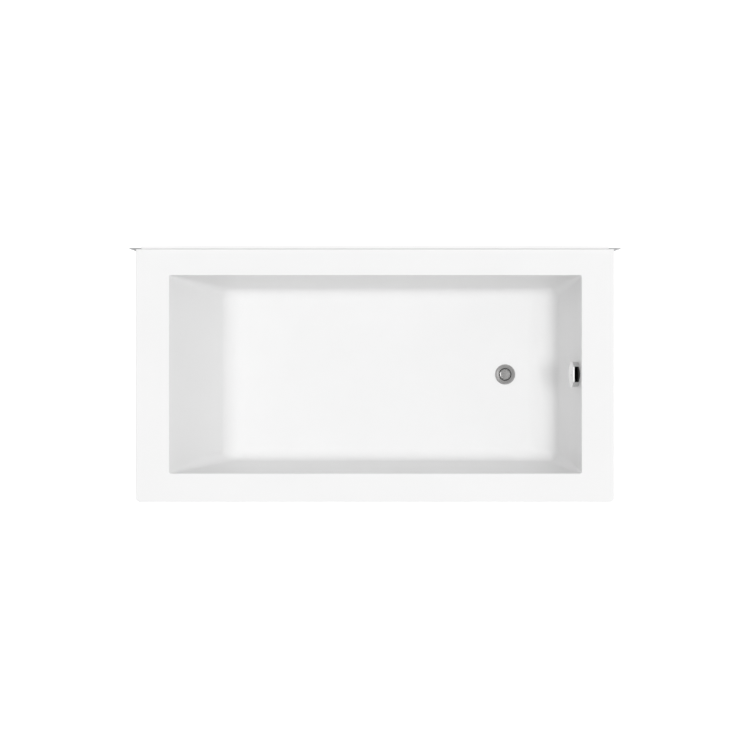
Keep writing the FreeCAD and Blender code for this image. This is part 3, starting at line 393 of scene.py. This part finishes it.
class Shape:
    """Points and faces gathered for one piece."""

    def __init__(self):
        self.points = []
        self.faces = []

    def loft(self, rings, closed=False):
        """Skin over a row of rings. Its ends are capped, unless the row closes on itself."""
        start = len(self.points)
        count = len(rings[0])
        for ring in rings:
            self.points.extend(ring)
        last = len(rings) - 1
        for row in range(len(rings) if closed else last):
            near = start + row * count
            far = start + (row + 1) % len(rings) * count
            for step in range(count):
                after = (step + 1) % count
                self.faces.append((near + step, near + after, far + after, far + step))
        if not closed:
            self.faces.append(tuple(range(start + count - 1, start - 1, -1)))
            self.faces.append(tuple(range(start + last * count, start + last * count + count)))

    def piece(self, name, body, slot, replaced=(), material=None):
        """Makes the mesh object and hands it to the frame."""
        mesh = bpy.data.meshes.new(name)
        mesh.from_pydata(self.points, [], self.faces)
        mesh.shade_smooth()
        mesh.set_sharp_from_angle(angle=SHARP_EDGE)
        mesh.materials.append(material or FINISHES[slot])
        made = bpy.data.objects.new(name, mesh)
        bpy.context.scene.collection.objects.link(made)
        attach(made, body)
        if replaced:
            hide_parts(*replaced)


def solids(name):
    """Corner points of each separate solid in a CAD node. Points in one place count as one."""
    digits = 5
    mesh = nodes[name].data
    keys = [tuple(round(number, digits) for number in vertex.co) for vertex in mesh.vertices]
    leader = {key: key for key in keys}

    def head(key):
        while leader[key] != key:
            key = leader[key]
        return key

    for polygon in mesh.polygons:
        first = head(keys[polygon.vertices[0]])
        for corner in polygon.vertices[1:]:
            leader[head(keys[corner])] = first
    groups = {}
    for key in sorted(leader):
        groups.setdefault(head(key), []).append(Vector(key))
    return list(groups.values())


def span_of(points):
    """Lowest and highest corner of some points."""
    return Vector(map(min, zip(*points))), Vector(map(max, zip(*points)))


def low_end(axis, low, high):
    """Middle of the face at a box's low end, along an axis."""
    index = "xyz".index(axis)
    place = (low + high) / 2
    place[index] = low[index]
    return place


# Frame tubes with rounded corners, and the welds that join them

TUBE_NAMES = ("post_", "long_rail", "top_rail", "cross_rail")
TUBE_WALL = 2 * MILLIMETRE
TUBE_CORNER = 4 * MILLIMETRE
TUBE_BREAK = 0.4 * MILLIMETRE

WELD_RADIUS = 3 * MILLIMETRE
RIPPLE_LENGTH = 2.5 * MILLIMETRE
RIPPLE_STEPS = 4
RIPPLE_SHARE = 0.12
BEAD_POINTS = 10


def square_tube(name):
    """Hollow tube along a box's longest side, with its end edges broken."""
    low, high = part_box(name)
    size = high - low
    axis = "xyz"[max(range(3), key=lambda index: size[index])]
    end = max(size) / 2
    outer = min(size) / 2
    inner = outer - TUBE_WALL
    inner_corner = TUBE_CORNER - TUBE_WALL
    profile = [
        (outer - TUBE_BREAK, TUBE_CORNER, -end), (outer, TUBE_CORNER, TUBE_BREAK - end),
        (outer, TUBE_CORNER, end - TUBE_BREAK), (outer - TUBE_BREAK, TUBE_CORNER, end),
        (inner + TUBE_BREAK, inner_corner, end), (inner, inner_corner, end - TUBE_BREAK),
        (inner, inner_corner, TUBE_BREAK - end), (inner + TUBE_BREAK, inner_corner, -end),
    ]
    shape = Shape()
    shape.loft([along(axis, (low + high) / 2, rounded_square(*ring)) for ring in profile], closed=True)
    shape.piece(f"tube_{name}", nodes[name]["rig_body"], "frame_paint", [name])


def weld_bead(shape, centre, length):
    """Rippled bead along Y with rounded ends, half sunk in the corner between two tubes."""
    steps = round(RIPPLE_STEPS * length / RIPPLE_LENGTH)
    rings = []
    for step in range(steps + 1):
        run = 2 * step / steps - 1
        # Full along most of the bead, and down to a small blunt end
        rounding = math.sqrt(1.05 - run ** 8)
        ripple = 1 - RIPPLE_SHARE * (1 - math.cos(2 * math.pi * step / RIPPLE_STEPS))
        ring = circle(WELD_RADIUS * rounding * ripple, run * length / 2, BEAD_POINTS)
        rings.append(along("y", centre, ring))
    shape.loft(rings)


def weld_frame():
    """Beads where the rails of each row meet the posts, and where the cross rails meet the long rails."""
    shape = Shape()
    for row in ("front", "back"):
        rail_low, rail_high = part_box(f"long_rail_{row}")
        top_low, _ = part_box(f"top_rail_{row}")
        y = (rail_low.y + rail_high.y) / 2
        length = rail_high.y - rail_low.y - 2 * TUBE_CORNER
        for side in ("left", "right"):
            post_low, post_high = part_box(f"post_{row}_{side}")
            inner_face = post_high.x if side == "left" else post_low.x
            for z in (rail_high.z, top_low.z):
                weld_bead(shape, Vector((inner_face, y, z)), length)
        for cross in ("head", "middle", "drain"):
            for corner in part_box(f"cross_rail_{cross}"):
                weld_bead(shape, Vector((corner.x, y, rail_high.z)), length)
    shape.piece("weld_beads", "tub", "frame_paint", material=bead_steel())


for tube in [name for name in nodes if name.startswith(TUBE_NAMES)]:
    square_tube(tube)
weld_frame()


# Threaded studs, nuts and screws

THREAD_STEPS = 24
THREAD_LEVELS = 5
NUT_SLACK = 0.3 * MILLIMETRE


def thread_rings(radius, low, high, pitch, depth, lead):
    """Rings of a cut thread. The radius rises and falls as it winds past, and shrinks over the lead."""
    levels = round(THREAD_LEVELS * (high - low) / pitch)
    rings = []
    for level in range(levels + 1):
        height = low + (high - low) * level / levels
        chamfer = max(0.0, lead - (high - height))
        ring = []
        for step in range(THREAD_STEPS):
            turn = step / THREAD_STEPS
            angle = 2 * math.pi * turn
            groove = abs(2 * ((height / pitch - turn) % 1) - 1)
            reach = radius - depth * groove - chamfer
            ring.append((reach * math.cos(angle), reach * math.sin(angle), height))
        rings.append(ring)
    return rings


def threaded_stud(name):
    """Levelling stud: a plain foot in the pad, and thread from there to the top."""
    low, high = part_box(name)
    radius = (high.x - low.x) / 2
    foot = 9 * MILLIMETRE
    edge = 0.6 * MILLIMETRE
    plain = [circle(radius - edge, 0), circle(radius, edge), circle(radius, foot)]
    thread = thread_rings(radius, foot, high.z - low.z,
                          pitch=1.75 * MILLIMETRE, depth=0.9 * MILLIMETRE, lead=1 * MILLIMETRE)
    shape = Shape()
    base = low_end("z", low, high)
    shape.loft([along("z", base, ring) for ring in plain + thread])
    shape.piece(f"thread_{name}", nodes[name]["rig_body"], "zinc_steel", [name])


def hex_nuts(name, bore):
    """Nuts with chamfered corners in place of plain hexagons. Their corners point along X."""
    count = 48
    mouth = 0.8 * MILLIMETRE
    chamfer = 0.3 * MILLIMETRE
    slope = math.tan(math.radians(30))
    shape = Shape()
    for points in solids(name):
        low, high = span_of(points)
        height = high.z - low.z
        flat = (high.x - low.x) / 2 * math.cos(math.pi / 6)
        face = flat - chamfer
        bottom = []
        top = []
        for step in range(count):
            angle = 2 * math.pi * step / count
            reach = flat / math.cos(angle % (math.pi / 3) - math.pi / 6)
            drop = (reach - face) * slope
            bottom.append((reach * math.cos(angle), reach * math.sin(angle), drop))
            top.append((reach * math.cos(angle), reach * math.sin(angle), height - drop))
        rings = [
            circle(bore, mouth, count), circle(bore + mouth, 0, count),
            circle(face, 0, count), bottom,
            top, circle(face, height, count),
            circle(bore + mouth, height, count), circle(bore, height - mouth, count),
        ]
        base = low_end("z", low, high)
        shape.loft([along("z", base, ring) for ring in rings], closed=True)
    shape.piece(f"hex_{name}", "tub", "zinc_steel", [name])


def bracket_screws():
    """Pan heads with a six-lobed recess, over threaded shanks that point away from the wall."""
    shape = Shape()
    head_height = 3 * MILLIMETRE
    shank_radius = 2.5 * MILLIMETRE
    tip_length = 2 * MILLIMETRE
    thread_start = 2.2 * MILLIMETRE
    for points in solids("bracket_screws"):
        low, high = span_of(points)
        head_radius = (high.z - low.z) / 2
        recess = {"lobes": 6, "depth": 0.14 * head_radius}
        seat = high.y - low.y - head_height
        tip = [circle(0.5 * MILLIMETRE, 0), circle(shank_radius - 0.6 * MILLIMETRE, tip_length)]
        thread = thread_rings(shank_radius, thread_start, seat,
                              pitch=1.6 * MILLIMETRE, depth=0.5 * MILLIMETRE, lead=0)
        head = [
            circle(head_radius, seat),
            circle(head_radius, seat + 0.35 * head_height),
            circle(0.9 * head_radius, seat + 0.7 * head_height),
            circle(0.66 * head_radius, seat + 0.93 * head_height),
            circle(0.56 * head_radius, seat + head_height),
            circle(0.52 * head_radius, seat + head_height, **recess),
            circle(0.48 * head_radius, seat + 0.45 * head_height, **recess),
        ]
        base = low_end("y", low, high)
        shape.loft([along("y", base, ring) for ring in tip + thread + head])
    shape.piece("screw_shapes", "tub", "zinc_steel", ["bracket_screws"])


for stud in [name for name in nodes if name.startswith("foot_stud")]:
    threaded_stud(stud)
stud_low, stud_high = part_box("foot_stud_back_middle")
nut_bore = (stud_high.x - stud_low.x) / 2 + NUT_SLACK
hex_nuts("weld_nuts", nut_bore)
hex_nuts("lock_nuts", nut_bore)
bracket_screws()


# Slip nuts with grip lobes

def bore_at(end, run, points, centre):
    """Radius of the hole in a solid's end face, which is square to the axis that it runs along."""
    rim = [point - centre for point in points if abs(point[run] - end) < 0.1 * MILLIMETRE]
    across = [index for index in range(3) if index != run]
    return min(math.hypot(*(offset[index] for index in across)) for offset in rim)


def slip_nuts():
    """Lobed nuts, each with a lip at the end where its hole is narrower."""
    shape = Shape()
    lip = 6 * MILLIMETRE
    edge = 2 * MILLIMETRE
    count = 72
    grip = {"count": count, "lobes": 12, "depth": edge}
    for points in solids("slip_nuts"):
        low, high = span_of(points)
        size = high - low
        run = min(range(3), key=lambda index: size[index])
        centre = (low + high) / 2
        half = size[run] / 2
        radius = max(size) / 2
        face = radius - 1.5 * edge
        low_bore = bore_at(low[run], run, points, centre)
        high_bore = bore_at(high[run], run, points, centre)
        step = half - lip if high_bore < low_bore else lip - half
        rings = [
            circle(low_bore, -half, count), circle(face, -half, count),
            circle(radius, edge - half, **grip), circle(radius, half - edge, **grip),
            circle(face, half, count), circle(high_bore, half, count),
            circle(high_bore, step, count), circle(low_bore, step, count),
        ]
        shape.loft([along("xyz"[run], centre, ring) for ring in rings], closed=True)
    shape.piece("slip_nut_shapes", "tub", "black_plastic", ["slip_nuts"])


slip_nuts()


# Broken edges on board and clips

def soften(name, width):
    """Small bevel along a solid's sharp edges."""
    weld = nodes[name].modifiers.new("joined", "WELD")
    weld.merge_threshold = 0.01 * MILLIMETRE
    bevel = nodes[name].modifiers.new("broken_edges", "BEVEL")
    bevel.width = width
    bevel.segments = 2
    bevel.limit_method = "ANGLE"
    bevel.angle_limit = math.radians(40)


soften("base_board", 1.2 * MILLIMETRE)
soften("panel_clips", 0.8 * MILLIMETRE)


# Floor, light and camera

FLOOR_HALF = 200 * rim_length
FLOOR_GLOW = 0.19

WORLD_LEVEL = 0.615
WORLD_LEAN = 0.03

KEY_STRENGTH = 1.4
KEY_SPREAD = math.radians(10)
KEY_LEAN = math.radians(6.5)
KEY_HEIGHT = 6

# The photo's width and the rim's length in it, in pixels
PHOTO_WIDTH = 750
PHOTO_RIM = 478.6
HALF_VIEW = math.radians(14.2)
SENSOR_WIDTH = 36.0
CAMERA_Y = -2 * MILLIMETRE


def make_floor():
    """Pale floor that reaches past every view, with a faint glow so that it comes out white."""
    corners = [(x * FLOOR_HALF, y * FLOOR_HALF, 0) for x, y in ((-1, -1), (1, -1), (1, 1), (-1, 1))]
    mesh = bpy.data.meshes.new("floor")
    mesh.from_pydata(corners, [], [(0, 1, 2, 3)])
    floor = bpy.data.objects.new("floor", mesh)
    bpy.context.scene.collection.objects.link(floor)
    recipe = Recipe("pale_floor", Roughness=0.9, Emission_Color=grey(1.0), Emission_Strength=FLOOR_GLOW)
    recipe.colour(recipe.noise(500 * MILLIMETRE), grey(0.90), grey(0.92))
    mesh.materials.append(recipe.material)


def make_world():
    """White light all round, a little stronger towards the drain end."""
    world = bpy.data.worlds.new("studio")
    world.use_nodes = True
    tree = world.node_tree
    background = tree.nodes["Background"]
    background.inputs["Color"].default_value = grey(1.0)
    lean = tree.nodes.new("ShaderNodeVectorMath")
    lean.operation = "DOT_PRODUCT"
    lean.inputs[1].default_value = (WORLD_LEAN, 0, 0)
    tree.links.new(tree.nodes.new("ShaderNodeTexCoord").outputs["Generated"], lean.inputs[0])
    level = tree.nodes.new("ShaderNodeMath")
    level.inputs[1].default_value = WORLD_LEVEL
    tree.links.new(lean.outputs["Value"], level.inputs[0])
    tree.links.new(level.outputs[0], background.inputs["Strength"])
    bpy.context.scene.world = world


def add_light(name, kind, place, **settings):
    """A light at one place, turned to face the middle of the deck."""
    light = bpy.data.lights.new(name, kind)
    for setting, value in settings.items():
        setattr(light, setting, value)
    lamp = bpy.data.objects.new(name, light)
    lamp.location = place
    aim = Vector((0, 0, deck_top)) - Vector(place)
    lamp.rotation_euler = aim.to_track_quat("-Z", "Y").to_euler()
    bpy.context.scene.collection.objects.link(lamp)
    return lamp


def add_box(name, place, width, depth, power):
    """A soft box that only reflections show."""
    box = add_light(name, "AREA", place, energy=power, shape="RECTANGLE", size=width, size_y=depth)
    box.visible_diffuse = False


def make_lights():
    """One high soft key light a little to the drain end, and a soft box towards each end."""
    key_place = (KEY_HEIGHT * math.tan(KEY_LEAN), 0, deck_top + KEY_HEIGHT)
    key = add_light("key", "SUN", key_place, energy=KEY_STRENGTH, angle=KEY_SPREAD)
    key.visible_glossy = False
    add_box("head_box", (-5, 0, deck_top + 4), width=5, depth=1, power=70)
    add_box("drain_box", (3.4, 0, deck_top + 7.3), width=2.8, depth=2.8, power=26)


def make_camera():
    """Looks straight down, from as high as makes the rim as long in the picture as in the photo."""
    data = bpy.data.cameras.new("camera")
    data.sensor_width = SENSOR_WIDTH
    data.lens = SENSOR_WIDTH / 2 / math.tan(HALF_VIEW)
    camera = bpy.data.objects.new("camera", data)
    view_width = rim_length * PHOTO_WIDTH / PHOTO_RIM
    height = view_width / 2 / math.tan(HALF_VIEW)
    camera.location = (0, CAMERA_Y, deck_top + height)
    bpy.context.scene.collection.objects.link(camera)
    bpy.context.scene.camera = camera


make_floor()
make_world()
make_lights()
make_camera()
bpy.context.scene.view_settings.view_transform = "Standard"
